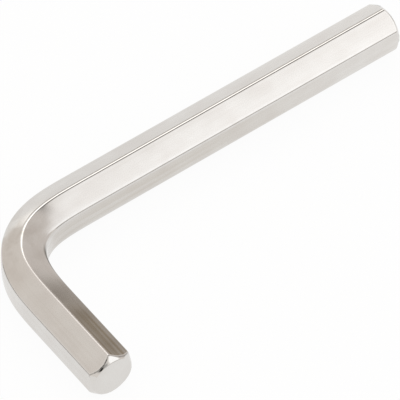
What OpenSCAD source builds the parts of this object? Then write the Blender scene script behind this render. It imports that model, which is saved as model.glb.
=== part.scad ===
// Hexagon key, one bent bar with turned tips.
// Lies flat: the bend plane is level, +Z is up, the long arm runs along +X and the short arm along -Y.
// The hexagon stands corner up, so the key rests on one ridge of the bar.
// Origin: centre of the outline seen from above, at the height of the surface it lies on. Units: mm.

/* [Bar] */
// Hexagon size, measured across two flats
across_flats = 10; // [4:0.5:24]
// Radius on each lengthwise edge of the bar
edge_round = 0.7; // [0.2:0.1:1.2]

/* [Arms] */
// Long arm, from the outer flat of the short arm to the tip
long_arm = 108.5; // [80:0.5:160]
// Short arm, from the outer flat of the long arm to the tip
short_arm = 47; // [40:1:70]
// Radius on the inside of the bend
bend_inner_r = 11; // [6:0.5:16]

/* [Tips] */
// Depth that the turned chamfer takes off a corner of the bar, across its axis
tip_bevel = 1.1; // [0.8:0.05:1.5]
// Slope of the chamfer on the long arm's tip, measured from the bar's axis
long_tip_angle = 50; // [30:1:60]
// Slope of the chamfer on the short arm's tip, measured from the bar's axis
short_tip_angle = 35; // [25:1:50]
// Radius between the chamfer and the flat of each tip
tip_round = 0.4; // [0.1:0.1:0.8]

/* [Hidden] */
$fn = 96;
nickel = [0.78, 0.77, 0.74];

half_flats = across_flats / 2;
// Centre to a sharp corner of the hexagon
corner_r = half_flats / cos(30);
// Edge arcs, kept inside small bars
corner_round = min(edge_round, half_flats * 0.5);
// The arcs stand this much proud of the flats, so that they cross them cleanly
arc_proud = 0.002;
arc_centre_r = corner_r - (corner_round - arc_proud) / cos(30);
// Centre to the top of a rounded corner, which is how high the bar's axis lies
axis_z = arc_centre_r + corner_round;

// Bend, measured at the bar's axis
bend_r = bend_inner_r + half_flats;
long_straight = long_arm - half_flats - bend_r;
short_straight = short_arm - half_flats - bend_r;

// Turned tip
tip_flat_r = corner_r - tip_bevel;
round_steps = 5;

// Half of the outline seen from above
half_x = long_arm / 2;
half_y = short_arm / 2;

// Hexagon with a corner on +Y and rounded edges
module bar_section() {
    rotate(90)
        circle(r = arc_centre_r, $fn = 6);
    for (a = [0, 60, 120])
        rotate(a)
            square([across_flats, arc_centre_r], center = true);
    for (a = [30:60:330])
        rotate(a)
            translate([arc_centre_r, 0])
                circle(r = corner_round);
}

// Straight bar from the origin along +Z, section's +Y corner kept on +Y
module bar(length) {
    linear_extrude(height = length)
        bar_section();
}

// How far back along the bar a chamfer reaches
function chamfer_length(slope) = tip_bevel / tan(slope);

// Radius at which the flat of a tip ends and its small radius starts
function flat_edge_r(slope) = tip_flat_r - tip_round * tan((90 - slope) / 2);

// Points of the small radius between chamfer and flat, from the chamfer inwards
function round_points(length, slope) = [
    for (i = [0:round_steps])
        let (a = slope + (90 - slope) * i / round_steps)
            [flat_edge_r(slope) + tip_round * cos(a), length - tip_round + tip_round * sin(a)]
];

// Half outline of the envelope that the lathe leaves round a tip
module tip_outline(length, slope) {
    polygon(concat(
        [[0, 0], [corner_r, 0], [corner_r, length - chamfer_length(slope)]],
        round_points(length, slope),
        [[0, length]]
    ));
}

// Straight arm along +Z with its tip turned to a chamfer
module arm(length, slope) {
    intersection() {
        bar(length);
        rotate_extrude()
            tip_outline(length, slope);
    }
}

// Quarter turn of the bar round the centre of the bend
module bend() {
    rotate([0, 0, 90])
        rotate_extrude(angle = 90)
            translate([bend_r, 0])
                bar_section();
}

// Whole key with the outer corner of the two arms' axes at the origin
module bent_bar() {
    translate([bend_r, 0, 0])
        rotate([90, 0, 90])
            arm(long_straight, long_tip_angle);
    translate([bend_r, -bend_r, 0])
        bend();
    translate([0, -bend_r, 0])
        rotate([90, 0, 0])
            arm(short_straight, short_tip_angle);
}

module hex_key() {
    color(nickel)
        translate([half_flats - half_x, half_y - half_flats, axis_z])
            bent_bar();
}

hex_key();
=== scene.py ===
"""Hex key on a white table: satin nickel bar, soft studio light, the photograph's camera."""

import math
from collections import namedtuple

import bmesh
import bpy
from mathutils import Matrix, Vector


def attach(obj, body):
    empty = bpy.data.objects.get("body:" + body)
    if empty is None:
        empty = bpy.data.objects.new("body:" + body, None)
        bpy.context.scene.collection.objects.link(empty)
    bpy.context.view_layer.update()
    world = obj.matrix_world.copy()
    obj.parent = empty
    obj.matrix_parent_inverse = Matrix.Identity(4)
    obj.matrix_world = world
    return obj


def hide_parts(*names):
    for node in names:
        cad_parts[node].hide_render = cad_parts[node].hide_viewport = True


QUARTER_TURN = math.pi / 2
COS_30 = math.cos(math.radians(30))
UP = Vector((0.0, 0.0, 1.0))

# Bar, in metres, as the part's source has it
HALF_FLATS = 0.005
CORNER = HALF_FLATS / COS_30
EDGE_ROUND = 0.0007
LONG_ARM = 0.1085
SHORT_ARM = 0.047
BEND_RADIUS = 0.016
TIP_BEVEL = 0.0011
TIP_FLAT = CORNER - TIP_BEVEL
LONG_TIP_ANGLE = math.radians(50)
SHORT_TIP_ANGLE = math.radians(35)
TIP_ROUND = 0.0004
AXIS_HEIGHT = CORNER - EDGE_ROUND / COS_30 + EDGE_ROUND
# Where the two arms' axes would meet, and the middles of both end faces
ELBOW = Vector((HALF_FLATS - LONG_ARM / 2, SHORT_ARM / 2 - HALF_FLATS, AXIS_HEIGHT))
LONG_END = ELBOW + Vector((LONG_ARM - HALF_FLATS, 0.0, 0.0))
SHORT_END = ELBOW - Vector((0.0, SHORT_ARM - HALF_FLATS, 0.0))
# For each arm, the direction of its tip and the one that faces the outside of the bend
LONG_AWAY = Vector((1.0, 0.0, 0.0))
LONG_OUT = Vector((0.0, 1.0, 0.0))
SHORT_AWAY = Vector((0.0, -1.0, 0.0))
SHORT_OUT = Vector((-1.0, 0.0, 0.0))

# What bending does to the section at the middle of the bend: how far each corner moves outwards and
# up, and what is added to its radius. The corners go round from the bottom ridge by the outside.
BENT_CORNERS = (
    (0.0005, 0.0, 0.0),
    (-0.0001, 0.0, 0.0),
    (-0.0001, 0.0, 0.0),
    (0.0007, 0.0, 0.0003),
    (0.0003, 0.0003, 0.0012),
    (0.0003, 0.0, 0.0008),
)
# What is added to each corner's radius on the long arm and on the short arm, in the same order
ARM_CORNERS = ((0.0, 0.0), (0.0, 0.0), (0.0, 0.0), (0.00013, -0.0002), (0.0, -0.0004), (0.0, 0.0))
# How far the middle of a face stands proud, on the straight and in the bend
CROWN = 0.000012
BENT_CROWN = 0.00010
# Share of the bend's length over which it starts and stops
BEND_EASE = 0.42
# Power that draws the change of the section towards the middle of the bend
BENT_POWER = 1.5
# Half the width of the rolled edge where a face meets the chamfer
ROLLED_EDGE = 0.00015
# How far back from an end its chamfer and rolled edge stay within
TIP_REACH = 0.0022
# Edges that turn by more than this angle are drawn sharp
SHARP_ANGLE = math.radians(25)

# Mesh steps. Of the bend's steps, every fourth gives a ring.
ARC_STEPS = 12
FACE_SHARES = (0.03, 0.12, 0.35, 0.65, 0.88, 0.97)
CORNER_COLUMNS = ARC_STEPS + 1 + len(FACE_SHARES)
BEND_STEPS = 256
BEND_KEPT = 4
ARM_STEPS = 12
ROUND_STEPS = 5
# Rings of a tip: shares of its flat's radius, then along the chamfer the share of its length and
# how far past that
FLAT_SHARES = (0.3, 0.7)
CHAMFER_RINGS = ((0.5, 0.0), (1.0, -ROLLED_EDGE), (1.0, ROLLED_EDGE), (1.0, 2.5 * ROLLED_EDGE))
TIP_ROWS = len(FLAT_SHARES) + ROUND_STEPS + 1 + len(CHAMFER_RINGS)

# Values that the mesh carries on its points for the materials
POINT_VALUES = ("edge", "bent", "worn", "face_shade", "shaded_edge")
# Share of a face over which the nearness to an edge fades
EDGE_FADE = 0.06
# Worn top ridge: how high above the axis it starts, and from which share of the turn it grows
WORN_ABOVE = 0.8 * HALF_FLATS
WORN_FROM = 0.55
WORN_OVER = 0.35
# Faces painted darker and browner as painted shade: the one below the top ridge inside the crook, from
# a place on the short arm onwards, and the upright one below it, most by the bend and less towards the
# long tip
SLOPING_FACE = 3
SLOPING_FROM = -0.002
SLOPING_OVER = 0.010
# How much more the strip beside the top ridge is darkened, as a painted dark reflection, and which
# share of the face it takes
SLOPING_RIM = 1.6
RIM_SHARE = 0.2
UPRIGHT_FACE = 4
UPRIGHT_UNTIL = 0.042
UPRIGHT_OVER = 0.050
UPRIGHT_SHADE = 0.30
# Rounded edge inside the crook, darkened as painted shade: its corner, the step of its arc with
# the most painted shade, over how many steps it fades, and from which share of the turn it grows
SHADED_CORNER = 4
SHADED_STEP = 4
SHADED_STEPS = 4.0
SHADED_FROM = 0.46
SHADED_OVER = 0.2
# Height above the bar's axis at which the rolled edge of the short tip has the most painted dark
# reflection, how far from there it reaches, and how much of it the side inside the crook has
RIM_SHADE_HEIGHT = 0.0043
RIM_SHADE_REACH = 0.0021
RIM_SHADE_INSIDE = 0.6

# What differs between the drawn bar and the turned tips: how finely the marks repeat along the bar
# and round it, how strongly places are rubbed, the roughness of the clear and the cloudy places, and
# the painted light by the bend, a factor that paints the colour darker there than towards the long tip
Finish = namedtuple("Finish", "grain rubbed rough handled")
DRAWN = Finish((45.0, 6000.0, 0.0), (0.25, 0.8), (0.11, 0.15), 0.965)
TURNED = Finish((7000.0, 60.0, 0.0), (0.1, 0.2), (0.07, 0.10), 0.99)

# Noise patterns: scale, detail and roughness. A grain beside one is how finely it repeats along the
# bar and round it. A span is the part of the pattern that counts, with the values it is turned into
# where those aren't 0 and 1.
MARKS_NOISE = (1.0, 4.0, 0.65)
MARKS_SPAN = (0.55, 0.85)
MARKS_ROUGH_SPAN = (0.2, 0.8, -0.015, 0.03)
CLOUD_NOISE = (150.0, 3.0, 0.5)
CLOUD_SPAN = (0.35, 0.65)
CLOUD_ROUGH_SPAN = (0.3, 0.7)
PATCH_NOISE = (900.0, 2.0, 0.5)
PATCH_SPAN = (0.35, 0.6)
STRAIN_NOISE = (260.0, 2.0, 0.55)
STRAIN_SPAN = (0.46, 0.64)
STREAK_GRAIN = (14.0, 900.0, 0.0)
STREAK_NOISE = (1.0, 2.0, 0.6)
STREAK_SPAN = (0.45, 0.65)
LINE_GRAIN = (14.0, 620.0, 0.0)
LINE_NOISE = (1.0, 2.0, 0.55)
LINE_SPAN = (0.38, 0.60, 0.25, 0.95)
# Noise that breaks the painted dark reflection in the short tip's rolled edge into patches
RIM_SHADE_NOISE = (1800.0, 2.0, 0.5)
RIM_SHADE_SPAN = (0.4, 0.6, 0.75, 1.0)
SWELL_NOISE = (150.0, 1.0, 0.4)
# Places, in metres, between which painted light makes the metal's colour brighter along x, and the
# streaks grow stronger along -y
PAINTED_LIGHT_SPAN = (-0.030, 0.050)
PAINTED_LIGHT_FAR = 1.045
STREAKED_SPAN = (0.006, -0.010, 0.12, 0.18)

# Colours of the metal
PLATE_DARK = (0.664, 0.636, 0.605)
PLATE_LIGHT = (0.712, 0.692, 0.663)
MARKS_TINT = (0.730, 0.712, 0.690)
RUBBED_TINT = (0.720, 0.702, 0.680)
STRAIN_TINT = (0.615, 0.585, 0.552)
STREAK_TINT = (0.560, 0.515, 0.470)
# Painted shade: the brown that darkens the faces inside the crook
FACE_SHADE_TINT = (0.435, 0.375, 0.290)
WORN_TINT = (0.70, 0.665, 0.635)
# Painted shade: the dark on the rounded edge inside the crook
EDGE_SHADE_TINT = (0.19, 0.18, 0.165)
# Painted dark reflection: the near-black line in the short tip's rolled edge
RIM_SHADE_TINT = (0.020, 0.018, 0.016)

# What rubbing takes off the roughness, and what wear and bending add to it
RUBBED_GLOSS = 0.09
WORN_ROUGH = 0.24
BENT_ROUGH = 0.07
# Bump of the broad swell, with its share on the straight arms, and of the fine marks
SWELL_STRAIGHT = 0.12
SWELL_HEIGHT = 0.0007
SWELL_STRENGTH = 0.6
MARKS_HEIGHT = 0.000004
MARKS_STRENGTH = 0.5

# Table: half its side in metres, its paint, and the share of plain white in what is seen of it
TABLE_HALF = 3.0
PAINT_DARK = (0.96, 0.96, 0.96)
PAINT_LIGHT = (0.98, 0.98, 0.98)
SPECKLE_NOISE = (900.0, 2.0)
WHITE_SHARE = 0.94

# Lamp: a disc above the table, in metres and watts
LAMP_PLACE = (0.35, 0.45, 1.1)
LAMP_SIZE = 0.6
LAMP_POWER = 0.9

# Camera, in the photograph's place; angles in degrees
AIM = Vector((-0.00902, 0.00099, 0.00905))
DISTANCE = 0.93854
AZIMUTH = -36.658
ELEVATION = 50.554
ROLL = -0.073
LENS_MM = 405.0
SENSOR_MM = 36.0
CLIP_START = 0.05
CLIP_END = 20.0

# Surroundings that the metal mirrors. Each is a soft-edged rectangle in a fixed direction: name, the
# direction of its middle and of its width, half its width, half its height and its soft edge in
# degrees, and its colour. Later ones lie over earlier ones.
Box = namedtuple("Box", "name middle width half_width half_height soft colour")
SKY = (0.92, 0.89, 0.86)
BOXES = (
    Box("back_wall", (-0.30, 0.855, 0.42), (1.0, 0.3, 0.0), 24, 22, 8, (0.85, 0.80, 0.755)),
    Box("right_wall", (0.87, 0.05, 0.48), (0.0, 1.0, 0.0), 28, 28, 6, (0.765, 0.72, 0.69)),
    Box("dark_side", (0.74, 0.672, 0.02), (0.672, -0.74, 0.0), 12, 13, 4, (0.18, 0.145, 0.11)),
    Box("front_box", (0.50, -0.55, 0.67), (1.0, 0.0, 0.0), 24, 15, 4, (1.37, 1.38, 1.40)),
    Box("front_low", (0.379, -0.92, 0.10), (1.0, 0.4, 0.0), 25, 7, 3, (0.32, 0.31, 0.30)),
    Box("box_gap", (0.443, 0.02, 0.897), (1.0, 0.0, 0.0), 8.5, 16, 3, (0.27, 0.26, 0.25)),
    Box("back_box", (0.379, 0.51, 0.772), (1.0, -1.0, 0.0), 26, 5.5, 3.5, (1.20, 1.18, 1.14)),
    Box("back_low", (0.47, 0.88, 0.06), (1.0, 0.0, 0.0), 10, 6, 4, (0.62, 0.60, 0.58)),
    Box("back_glow", (0.17, 0.98, 0.11), (1.0, 0.0, 0.0), 7, 7, 4, (1.35, 1.33, 1.30)),
    Box("back_gap", (0.379, 0.87, 0.317), (1.0, 0.0, 0.0), 10, 6, 3, (0.35, 0.33, 0.31)),
    Box("left_low", (-0.627, 0.772, 0.095), (0.78, 0.62, 0.0), 12, 7, 3, (0.22, 0.205, 0.19)),
    Box("left_gap", (-0.86, 0.51, 0.06), (0.5, 0.86, 0.0), 12, 9, 4, (0.25, 0.23, 0.21)),
    Box("front_grey", (-0.42, -0.64, 0.64), (1.0, -0.3, 0.0), 20, 14, 5, (0.48, 0.48, 0.47)),
    Box("front_dark", (-0.53, -0.61, 0.59), (1.0, -1.0, 0.0), 8, 10, 3, (0.01, 0.01, 0.01)),
)
# How far ahead a direction has to point, as a cosine, before a rectangle shows at all and in full
AHEAD_SPAN = (0.0, 0.1)


def smoothstep(value):
    """0 to 1 with soft ends."""
    value = min(max(value, 0.0), 1.0)
    return value * value * (3.0 - 2.0 * value)


def section_corners(bent, turned):
    """Sharp corners of the section and their radii, from the bottom ridge round by the outside."""
    past = turned / QUARTER_TURN
    corners, radii = [], []
    for index, (outward, up, wider) in enumerate(BENT_CORNERS):
        angle = math.radians(60.0 * index - 90.0)
        direction = Vector((math.cos(angle), math.sin(angle)))
        corners.append(direction * CORNER + Vector((outward, up)) * bent)
        on_long, on_short = ARM_CORNERS[index]
        radii.append(EDGE_ROUND + wider * bent + on_long + (on_short - on_long) * past)
    return corners, radii


def corner_arcs(corners, radii):
    """The rounded edges of the section, as an arc of points for each corner."""
    arcs = []
    for index, (corner, radius) in enumerate(zip(corners, radii)):
        before = (corner - corners[index - 1]).normalized()
        after = (corners[(index + 1) % len(corners)] - corner).normalized()
        turn = math.acos(before.dot(after))
        outwards = Vector((before.y, -before.x))
        centre = corner - before * radius * math.tan(turn / 2) - outwards * radius
        arcs.append([
            centre + Matrix.Rotation(turn * step / ARC_STEPS, 2) @ outwards * radius
            for step in range(ARC_STEPS + 1)
        ])
    return arcs


def section(bent, turned):
    """Round-cornered hexagon, anticlockwise: (outward, up) points with their nearness to an edge."""
    arcs = corner_arcs(*section_corners(bent, turned))
    crown = CROWN + (BENT_CROWN - CROWN) * bent
    points = []
    for index, arc in enumerate(arcs):
        points += [(point, 1.0) for point in arc]
        start, end = arc[-1], arcs[(index + 1) % len(arcs)][0]
        outwards = Vector((end.y - start.y, start.x - end.x)).normalized()
        for share in FACE_SHARES:
            point = start.lerp(end, share) + outwards * 4.0 * share * (1.0 - share) * crown
            points.append((point, max(0.0, 1.0 - min(share, 1.0 - share) / EDGE_FADE)))
    return points


def bend_places():
    """Place and turn through the bend, measured from the elbow.

    The curvature starts and stops gently. The middle lies where a plain quarter turn has it.
    """
    weights = []
    for step in range(BEND_STEPS):
        share = (step + 0.5) / BEND_STEPS
        weights.append(smoothstep(min(share, 1.0 - share) / BEND_EASE))
    total = sum(weights)
    x = y = turned = 0.0
    places = [(x, y, turned)]
    for weight in weights:
        step = weight / total * QUARTER_TURN
        x -= math.cos(turned + step / 2)
        y -= math.sin(turned + step / 2)
        turned += step
        places.append((x, y, turned))
    middle = places[BEND_STEPS // 2]
    scale = (math.sqrt(2) - 1) * BEND_RADIUS / math.hypot(middle[0] - x, middle[1])
    return [((place[0] - x) * scale, place[1] * scale, place[2]) for place in places[::BEND_KEPT]]


def tip_profile(tip_angle):
    """Radius and distance from the end across a tip's flat and round its small radius."""
    spare = QUARTER_TURN - tip_angle
    tangent = TIP_ROUND * math.tan(spare / 2)
    profile = [(TIP_FLAT * share, 0.0) for share in FLAT_SHARES]
    for step in range(ROUND_STEPS, -1, -1):
        angle = tip_angle + spare * step / ROUND_STEPS
        radius = TIP_FLAT - tangent + TIP_ROUND * math.cos(angle)
        profile.append((radius, TIP_ROUND * (1.0 - math.sin(angle))))
    return profile


def tip_rings(end, out, away, turned, tip_angle):
    """Rings of a turned tip, from its flat to just past where the chamfer meets the bar."""
    points = [point for point, _ in section(0.0, turned)]
    profile = tip_profile(tip_angle)

    def placed(point, radius, back):
        return end - away * back + (out * point.x + UP * point.y) * radius / point.length

    rings = [[placed(point, radius, back) for point in points] for radius, back in profile]
    last_radius, last_back = profile[-1]
    slope = math.tan(tip_angle)
    for share, past_edge in CHAMFER_RINGS:
        ring = []
        for point in points:
            back = last_back + share * (point.length - last_radius) / slope + past_edge
            radius = min(point.length, last_radius + (back - last_back) * slope)
            ring.append(placed(point, radius, back))
        rings.append(ring)
    return rings


def bar_ring(place, out, turned):
    """The section stood across the bar, how much the bar is bent there, and its share of the turn."""
    bent = max(math.sin(2.0 * turned), 0.0) ** BENT_POWER
    ring = [place + out * point.x + UP * point.y for point, _ in section(bent, turned)]
    return ring, bent, turned / QUARTER_TURN


def key_rings():
    """Rings of points from the long tip to the short one, each as bar_ring gives them."""
    places = bend_places()
    long_start = ELBOW + Vector((places[0][0], 0.0, 0.0))
    short_start = ELBOW + Vector((0.0, places[-1][1], 0.0))
    long_tip = tip_rings(LONG_END, LONG_OUT, LONG_AWAY, 0.0, LONG_TIP_ANGLE)
    rings = [(ring, 0.0, 0.0) for ring in long_tip]
    for step in range(ARM_STEPS):
        place = (LONG_END - LONG_AWAY * TIP_REACH).lerp(long_start, step / ARM_STEPS)
        rings.append(bar_ring(place, LONG_OUT, 0.0))
    for x, y, turned in places:
        out = Vector((-math.sin(turned), math.cos(turned), 0.0))
        rings.append(bar_ring(ELBOW + Vector((x, y, 0.0)), out, turned))
    for step in range(1, ARM_STEPS + 1):
        place = short_start.lerp(SHORT_END - SHORT_AWAY * TIP_REACH, step / ARM_STEPS)
        rings.append(bar_ring(place, SHORT_OUT, QUARTER_TURN))
    short_tip = tip_rings(SHORT_END, SHORT_OUT, SHORT_AWAY, QUARTER_TURN, SHORT_TIP_ANGLE)
    rings += [(ring, 0.0, 1.0) for ring in reversed(short_tip)]
    return rings


def worn(place, edge, turned):
    """How much handling has worn the top ridge, which grows from the bend to the short tip."""
    if place.z <= AXIS_HEIGHT + WORN_ABOVE:
        return 0.0
    return edge * smoothstep((turned - WORN_FROM) / WORN_OVER)


def face_shaded(column, place, turned):
    """How much painted shade darkens the bar at a point of a face; the rounded edges stay bright."""
    face, spot = divmod(column, CORNER_COLUMNS)
    if spot <= ARC_STEPS:
        return 0.0
    if face == SLOPING_FACE:
        rim = SLOPING_RIM if FACE_SHARES[spot - ARC_STEPS - 1] < RIM_SHARE else 1.0
        return smoothstep((SLOPING_FROM - place.y) / SLOPING_OVER) * turned * rim
    if face == UPRIGHT_FACE:
        return smoothstep((UPRIGHT_UNTIL - place.x) / UPRIGHT_OVER) * UPRIGHT_SHADE
    return 0.0


def shaded_edge(column, turned):
    """How much painted shade darkens the rounded edge inside the crook."""
    corner, spot = divmod(column, CORNER_COLUMNS)
    if corner != SHADED_CORNER or spot > ARC_STEPS:
        return 0.0
    across = max(0.0, 1.0 - abs(spot - SHADED_STEP) / SHADED_STEPS)
    return across * smoothstep((turned - SHADED_FROM) / SHADED_OVER)


def rim_shade(place):
    """How much painted dark reflection the rolled edge of the short tip has at a place on it."""
    share = max(0.0, 1.0 - abs(place.z - AXIS_HEIGHT - RIM_SHADE_HEIGHT) / RIM_SHADE_REACH)
    return share * (RIM_SHADE_INSIDE if place.x > ELBOW.x else 1.0)


def add_rows(build, rings):
    """A row of vertices for each ring, with the values that the materials read."""
    layers = [build.verts.layers.float[name] for name in POINT_VALUES]
    edges = [edge for _, edge in section(0.0, 0.0)]
    grid = []
    for ring, bent, turned in rings:
        row = []
        for column, (place, edge) in enumerate(zip(ring, edges)):
            vertex = build.verts.new(place)
            # The last two values are painted shade: on the faces inside the crook and on the rounded
            # edge there
            values = (
                edge, bent, worn(place, edge, turned),
                face_shaded(column, place, turned), shaded_edge(column, turned),
            )
            for layer, value in zip(layers, values):
                vertex[layer] = value
            row.append(vertex)
        grid.append(row)
    return grid


def lengths_along(rings):
    """Distance of every point from the first ring, measured along its own column."""
    lengths = [[0.0] * len(rings[0][0])]
    for before, after in zip(rings, rings[1:]):
        steps = zip(lengths[-1], before[0], after[0])
        lengths.append([so_far + (there - here).length for so_far, here, there in steps])
    return lengths


def lengths_around(ring):
    """Distance round a ring to each of its points, and once more to the first."""
    around = [0.0]
    for here, beside in zip(ring, ring[1:] + ring[:1]):
        around.append(around[-1] + (beside - here).length)
    return around


def add_faces(build, grid, lengths, around):
    """Faces between the rows; those of the turned tips are in the second material."""
    rim_shade_layer = build.faces.layers.float["rim_shade"]
    grain = build.loops.layers.uv["grain"]
    columns = len(grid[0])
    rim_shade_row = len(grid) - TIP_ROWS + 1
    for number, (row, next_row) in enumerate(zip(grid, grid[1:])):
        on_tip = number < TIP_ROWS - 1 or number >= len(grid) - TIP_ROWS
        for column in range(columns):
            beside = (column + 1) % columns
            face = build.faces.new((row[column], next_row[column], next_row[beside], row[beside]))
            face.material_index = 1 if on_tip else 0
            # Painted dark reflection on the faces along the short tip's rolled edge
            if number == rim_shade_row:
                face[rim_shade_layer] = rim_shade(row[column].co)
            spots = (
                (lengths[number][column], around[column]),
                (lengths[number + 1][column], around[column]),
                (lengths[number + 1][beside], around[column + 1]),
                (lengths[number][beside], around[column + 1]),
            )
            for loop, spot in zip(face.loops, spots):
                loop[grain].uv = spot


def close_end(build, row, middle, forward):
    """Triangles from the middle of an end face to the row round it."""
    centre = build.verts.new(middle)
    for here, beside in zip(row, row[1:] + row[:1]):
        pair = (here, beside) if forward else (beside, here)
        build.faces.new((centre, *pair)).material_index = 1


def key_mesh():
    """The bar as one closed mesh."""
    rings = key_rings()
    build = bmesh.new()
    for name in POINT_VALUES:
        build.verts.layers.float.new(name)
    build.faces.layers.float.new("rim_shade")
    build.loops.layers.uv.new("grain")
    grid = add_rows(build, rings)
    add_faces(build, grid, lengths_along(rings), lengths_around(rings[TIP_ROWS][0]))
    close_end(build, grid[0], LONG_END, True)
    close_end(build, grid[-1], SHORT_END, False)
    mesh = bpy.data.meshes.new("hex_key_bar")
    build.to_mesh(mesh)
    build.free()
    for polygon in mesh.polygons:
        polygon.use_smooth = True
    mesh.set_sharp_from_angle(angle=SHARP_ANGLE)
    return mesh


def make_key():
    """The bar in its place: drawn faces in the first material, turned tips in the second."""
    mesh = key_mesh()
    mesh.materials.append(nickel("satin_nickel", DRAWN))
    mesh.materials.append(nickel("turned_nickel", TURNED))
    key = bpy.data.objects.new("hex_key_bar", mesh)
    bpy.context.collection.objects.link(key)
    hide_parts("hex_key")
    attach(key, "root")


def link(tree, source, target):
    """Joins two sockets."""
    tree.links.new(source, target)


def math_node(tree, operation, first, second=None):
    """A Math node; numbers go on its sockets and sockets are linked."""
    node = tree.nodes.new("ShaderNodeMath")
    node.operation = operation
    for slot, value in enumerate((first, second)):
        if value is None:
            continue
        if isinstance(value, (int, float)):
            node.inputs[slot].default_value = value
        else:
            link(tree, value, node.inputs[slot])
    return node.outputs[0]


def times(tree, first, second):
    """Product of two sockets, or of a socket and a number."""
    return math_node(tree, "MULTIPLY", first, second)


def mix_colour(tree, factor, first, second):
    """Mix of two colours, each a socket or a tuple."""
    node = tree.nodes.new("ShaderNodeMix")
    node.data_type = "RGBA"
    link(tree, factor, node.inputs[0])
    for slot, value in ((6, first), (7, second)):
        if isinstance(value, tuple):
            node.inputs[slot].default_value = (*value, 1.0)
        else:
            link(tree, value, node.inputs[slot])
    return node.outputs[2]


def map_range(tree, value, low, high, to_low=0.0, to_high=1.0, smooth=False):
    """The value moved from one range to another, and held within it."""
    node = tree.nodes.new("ShaderNodeMapRange")
    node.interpolation_type = "SMOOTHSTEP" if smooth else "LINEAR"
    link(tree, value, node.inputs["Value"])
    node.inputs["From Min"].default_value = low
    node.inputs["From Max"].default_value = high
    node.inputs["To Min"].default_value = to_low
    node.inputs["To Max"].default_value = to_high
    return node.outputs["Result"]


def noise(tree, vector, scale, detail, roughness=0.5):
    """A noise pattern, from 0 to 1."""
    node = tree.nodes.new("ShaderNodeTexNoise")
    node.inputs["Scale"].default_value = scale
    node.inputs["Detail"].default_value = detail
    node.inputs["Roughness"].default_value = roughness
    link(tree, vector, node.inputs["Vector"])
    return node.outputs["Fac"]


def attribute(tree, name, output="Fac"):
    """A value that the mesh carries."""
    node = tree.nodes.new("ShaderNodeAttribute")
    node.attribute_name = name
    return node.outputs[output]


def stretched(tree, vector, scale):
    """The vector with each axis scaled."""
    node = tree.nodes.new("ShaderNodeVectorMath")
    node.operation = "MULTIPLY"
    link(tree, vector, node.inputs[0])
    node.inputs[1].default_value = scale
    return node.outputs[0]


def brightened(tree, colour, factor):
    """The colour times a socket."""
    node = tree.nodes.new("ShaderNodeVectorMath")
    node.operation = "SCALE"
    link(tree, colour, node.inputs[0])
    link(tree, factor, node.inputs["Scale"])
    return node.outputs[0]


def bump(tree, height, distance, strength, normal=None):
    """The normal that a pattern of heights gives, on top of another one if there is one."""
    node = tree.nodes.new("ShaderNodeBump")
    node.inputs["Strength"].default_value = strength
    node.inputs["Distance"].default_value = distance
    link(tree, height, node.inputs["Height"])
    if normal is not None:
        link(tree, normal, node.inputs["Normal"])
    return node.outputs["Normal"]


def rubbed_places(tree, place, finish):
    """Where the plate is rubbed: patches, which the drawn bar has on its edges only."""
    patches = map_range(tree, noise(tree, place, *PATCH_NOISE), *PATCH_SPAN, *finish.rubbed)
    return times(tree, attribute(tree, "edge"), patches) if finish is DRAWN else patches


def plate_tint(tree, place, marks, cloud, rubbed, bent):
    """The colours that the drawn bar and the turned tips share."""
    tint = mix_colour(tree, map_range(tree, cloud, *CLOUD_SPAN), PLATE_DARK, PLATE_LIGHT)
    tint = mix_colour(tree, map_range(tree, marks, *MARKS_SPAN), tint, MARKS_TINT)
    tint = mix_colour(tree, rubbed, tint, RUBBED_TINT)
    strained = map_range(tree, noise(tree, place, *STRAIN_NOISE), *STRAIN_SPAN)
    return mix_colour(tree, times(tree, strained, bent), tint, STRAIN_TINT)


def drawn_tint(tree, tint, grain, place_y):
    """Brown streaks, painted shade on the faces and on the rounded edge inside the crook, and the worn
    ridge, over the plain plate.
    """
    streaks = noise(tree, stretched(tree, grain, STREAK_GRAIN), *STREAK_NOISE)
    streaked = map_range(tree, place_y, *STREAKED_SPAN)
    share = times(tree, map_range(tree, streaks, *STREAK_SPAN), streaked)
    tint = mix_colour(tree, share, tint, STREAK_TINT)
    lines = noise(tree, stretched(tree, grain, LINE_GRAIN), *LINE_NOISE)
    # Painted shade: darker brown faces inside the crook, broken into lines along the bar
    face_shade = times(tree, attribute(tree, "face_shade"), map_range(tree, lines, *LINE_SPAN))
    tint = mix_colour(tree, face_shade, tint, FACE_SHADE_TINT)
    tint = mix_colour(tree, attribute(tree, "worn"), tint, WORN_TINT)
    # Painted shade on the rounded edge inside the crook
    return mix_colour(tree, attribute(tree, "shaded_edge"), tint, EDGE_SHADE_TINT)


def turned_tint(tree, tint, place):
    """A patchy painted dark reflection in the rolled edge, over the plain plate."""
    patchy = map_range(tree, noise(tree, place, *RIM_SHADE_NOISE), *RIM_SHADE_SPAN)
    # Painted dark reflection in the rolled edge, broken into patches
    return mix_colour(tree, times(tree, attribute(tree, "rim_shade"), patchy), tint, RIM_SHADE_TINT)


def plate_roughness(tree, marks, cloud, rubbed, finish):
    """The roughness that comes from the marks and the cloud, less where the plate is rubbed."""
    marked = map_range(tree, marks, *MARKS_ROUGH_SPAN)
    clouded = map_range(tree, cloud, *CLOUD_ROUGH_SPAN, *finish.rough)
    rough = math_node(tree, "ADD", marked, clouded)
    return math_node(tree, "SUBTRACT", rough, times(tree, rubbed, RUBBED_GLOSS))


def drawn_roughness(tree, rough, bent):
    """More roughness on the worn ridge and on the faces in the bend."""
    rough = math_node(tree, "ADD", rough, times(tree, attribute(tree, "worn"), WORN_ROUGH))
    between = math_node(tree, "SUBTRACT", 1.0, attribute(tree, "edge"))
    return math_node(tree, "ADD", rough, times(tree, times(tree, bent, between), BENT_ROUGH))


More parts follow.
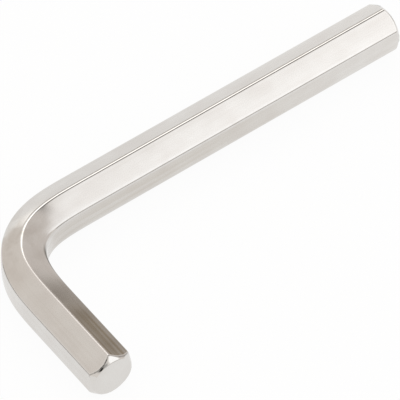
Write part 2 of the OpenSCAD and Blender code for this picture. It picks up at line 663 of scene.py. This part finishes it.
def plate_normal(tree, place, marks, bent):
    """A broad swell, most of it in the bend, with the fine marks on top."""
    amount = map_range(tree, bent, 0.0, 1.0, SWELL_STRAIGHT, 1.0)
    swell = times(tree, noise(tree, place, *SWELL_NOISE), amount)
    soft = bump(tree, swell, SWELL_HEIGHT, SWELL_STRENGTH)
    return bump(tree, marks, MARKS_HEIGHT, MARKS_STRENGTH, soft)


def nickel(name, finish):
    """Nickel plate over drawn steel, or over a turned tip, where the fine marks run round the axis."""
    material = bpy.data.materials.new(name)
    material.use_nodes = True
    tree = material.node_tree
    shader = tree.nodes["Principled BSDF"]
    shader.inputs["Metallic"].default_value = 1.0
    place = tree.nodes.new("ShaderNodeTexCoord").outputs["Object"]
    across = tree.nodes.new("ShaderNodeSeparateXYZ")
    link(tree, place, across.inputs[0])
    grain = attribute(tree, "grain", "Vector")
    marks = noise(tree, stretched(tree, grain, finish.grain), *MARKS_NOISE)
    cloud = noise(tree, place, *CLOUD_NOISE)
    rubbed = rubbed_places(tree, place, finish)
    bent = attribute(tree, "bent")
    tint = plate_tint(tree, place, marks, cloud, rubbed, bent)
    rough = plate_roughness(tree, marks, cloud, rubbed, finish)
    if finish is DRAWN:
        tint = drawn_tint(tree, tint, grain, across.outputs["Y"])
        rough = drawn_roughness(tree, rough, bent)
    else:
        tint = turned_tint(tree, tint, place)
    # Painted light: the colour is scaled from darker by the bend to brighter towards the long tip
    handled = map_range(tree, across.outputs["X"], *PAINTED_LIGHT_SPAN, finish.handled, PAINTED_LIGHT_FAR)
    link(tree, brightened(tree, tint, handled), shader.inputs["Base Color"])
    link(tree, rough, shader.inputs["Roughness"])
    link(tree, plate_normal(tree, place, marks, bent), shader.inputs["Normal"])
    return material


def table_top():
    """Matt white table that keeps a faint shadow."""
    material = bpy.data.materials.new("table_white")
    material.use_nodes = True
    tree = material.node_tree
    tree.nodes.clear()
    paint = tree.nodes.new("ShaderNodeBsdfDiffuse")
    place = tree.nodes.new("ShaderNodeTexCoord").outputs["Object"]
    speckle = noise(tree, place, *SPECKLE_NOISE)
    link(tree, mix_colour(tree, speckle, PAINT_DARK, PAINT_LIGHT), paint.inputs["Color"])
    white = tree.nodes.new("ShaderNodeEmission")
    white.inputs["Color"].default_value = (1.0, 1.0, 1.0, 1.0)
    white.inputs["Strength"].default_value = 1.0
    rays = tree.nodes.new("ShaderNodeLightPath").outputs
    seen = math_node(tree, "MAXIMUM", rays["Is Camera Ray"], rays["Is Glossy Ray"])
    seen = math_node(tree, "MAXIMUM", seen, rays["Is Transmission Ray"])
    blend = tree.nodes.new("ShaderNodeMixShader")
    link(tree, times(tree, seen, WHITE_SHARE), blend.inputs[0])
    link(tree, paint.outputs[0], blend.inputs[1])
    link(tree, white.outputs[0], blend.inputs[2])
    output = tree.nodes.new("ShaderNodeOutputMaterial")
    link(tree, blend.outputs[0], output.inputs["Surface"])
    return material


def make_table():
    """The surface that the key lies on."""
    low, high = -TABLE_HALF, TABLE_HALF
    corners = [(low, low, 0.0), (high, low, 0.0), (high, high, 0.0), (low, high, 0.0)]
    mesh = bpy.data.meshes.new("table")
    mesh.from_pydata(corners, [], [(0, 1, 2, 3)])
    table = bpy.data.objects.new("table", mesh)
    bpy.context.collection.objects.link(table)
    mesh.materials.append(table_top())


def along(tree, ray, axis, label):
    """How far a ray's direction goes along an axis."""
    node = tree.nodes.new("ShaderNodeVectorMath")
    node.operation = "DOT_PRODUCT"
    node.label = label
    link(tree, ray, node.inputs[0])
    node.inputs[1].default_value = axis
    return node.outputs["Value"]


def sine(degrees):
    """Sine of an angle in degrees."""
    return math.sin(math.radians(degrees))


def inside_box(tree, ray, box):
    """How much a ray's direction is inside a box's rectangle, with its soft edge."""
    forward = Vector(box.middle).normalized()
    up = forward.cross(Vector(box.width)).normalized()
    inside = map_range(tree, along(tree, ray, forward, box.name), *AHEAD_SPAN)
    for axis, half in ((up.cross(forward), box.half_width), (up, box.half_height)):
        off = math_node(tree, "ABSOLUTE", along(tree, ray, axis, box.name))
        outer, inner = sine(half + box.soft), sine(half - box.soft)
        inside = times(tree, inside, map_range(tree, off, outer, inner, smooth=True))
    return inside


def make_world():
    """Even pale studio with soft boxes and a few dark places, as fixed directions."""
    world = bpy.data.worlds.new("studio")
    bpy.context.scene.world = world
    world.use_nodes = True
    tree = world.node_tree
    tree.nodes.clear()
    ray = tree.nodes.new("ShaderNodeTexCoord").outputs["Generated"]
    colour = SKY
    for box in BOXES:
        colour = mix_colour(tree, inside_box(tree, ray, box), colour, box.colour)
    background = tree.nodes.new("ShaderNodeBackground")
    link(tree, colour, background.inputs["Color"])
    background.inputs["Strength"].default_value = 1.0
    output = tree.nodes.new("ShaderNodeOutputWorld")
    link(tree, background.outputs[0], output.inputs["Surface"])


def make_lamp():
    """One soft lamp overhead that looks at the origin."""
    data = bpy.data.lights.new("overhead", "AREA")
    data.shape = "DISK"
    data.size = LAMP_SIZE
    data.energy = LAMP_POWER
    lamp = bpy.data.objects.new("overhead", data)
    lamp.location = LAMP_PLACE
    lamp.rotation_euler = (-Vector(LAMP_PLACE)).to_track_quat("-Z", "Y").to_euler()
    bpy.context.collection.objects.link(lamp)


def make_camera():
    """The photograph's camera: a long lens that looks down on the key from the short arm's side."""
    azimuth = math.radians(AZIMUTH)
    elevation = math.radians(ELEVATION)
    back = Vector((
        math.sin(azimuth) * math.cos(elevation),
        -math.cos(azimuth) * math.cos(elevation),
        math.sin(elevation),
    ))
    data = bpy.data.cameras.new("camera")
    data.lens = LENS_MM
    data.sensor_width = SENSOR_MM
    data.clip_start = CLIP_START
    data.clip_end = CLIP_END
    camera = bpy.data.objects.new("camera", data)
    roll = Matrix.Rotation(math.radians(ROLL), 3, "Z")
    turn = (-back).to_track_quat("-Z", "Y").to_matrix() @ roll
    camera.matrix_world = Matrix.Translation(AIM + back * DISTANCE) @ turn.to_4x4()
    bpy.context.collection.objects.link(camera)
    bpy.context.scene.camera = camera


def main():
    """The whole scene."""
    bpy.context.scene.view_settings.view_transform = "Standard"
    make_key()
    make_table()
    make_world()
    make_lamp()
    make_camera()


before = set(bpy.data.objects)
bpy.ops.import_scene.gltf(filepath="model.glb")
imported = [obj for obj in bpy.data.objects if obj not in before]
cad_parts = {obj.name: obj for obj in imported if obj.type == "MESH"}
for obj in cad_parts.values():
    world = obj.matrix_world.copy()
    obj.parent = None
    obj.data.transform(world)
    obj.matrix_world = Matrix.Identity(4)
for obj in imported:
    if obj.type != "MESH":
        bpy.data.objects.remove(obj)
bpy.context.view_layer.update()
main()
